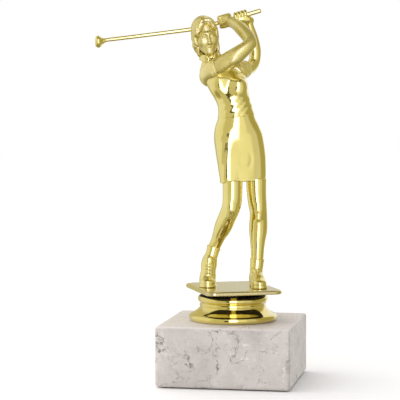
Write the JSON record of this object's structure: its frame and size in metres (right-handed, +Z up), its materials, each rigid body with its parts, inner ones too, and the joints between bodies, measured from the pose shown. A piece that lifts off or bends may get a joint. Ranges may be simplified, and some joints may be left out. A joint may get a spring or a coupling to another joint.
{
  "type": "figure trophy",
  "caption": "Gold-metallised golfer figure at the finish of a swing, on an oblong platform and a turned riser, clamped by one tie rod to a square polished stone block.",
  "frame": {"origin": "middle of the felt sheet's underside, on the surface the trophy stands on", "axes": "+Z up along the tie rod; the block's front face looks towards -Y; the club points towards -X"},
  "size_m": [0.1108, 0.07, 0.1969],
  "materials": {
    "marble": "polished, veined",
    "felt": "matt felt",
    "steel": "zinc plated",
    "gold_plating": "vacuum-metallised high gloss gold"
  },
  "bodies": {
    "root": {"marble_block": "marble", "felt_sheet": "felt", "tie_rod": "steel", "base_washer": "steel", "base_nut": "steel", "riser": "gold_plating", "platform": "gold_plating", "captive_nut": "steel", "left_shoe": "gold_plating", "right_shoe": "gold_plating", "left_sock": "gold_plating", "right_sock": "gold_plating", "left_leg": "gold_plating", "right_leg": "gold_plating", "skirt": "gold_plating", "shirt": "gold_plating", "right_sleeve": "gold_plating", "left_sleeve": "gold_plating", "collar": "gold_plating", "head": "gold_plating", "hair": "gold_plating", "left_arm": "gold_plating", "right_arm": "gold_plating", "left_hand": "gold_plating", "right_hand": "gold_plating", "club_shaft": "gold_plating", "club_grip": "gold_plating", "club_head": "gold_plating"}
  },
  "joints": []
}
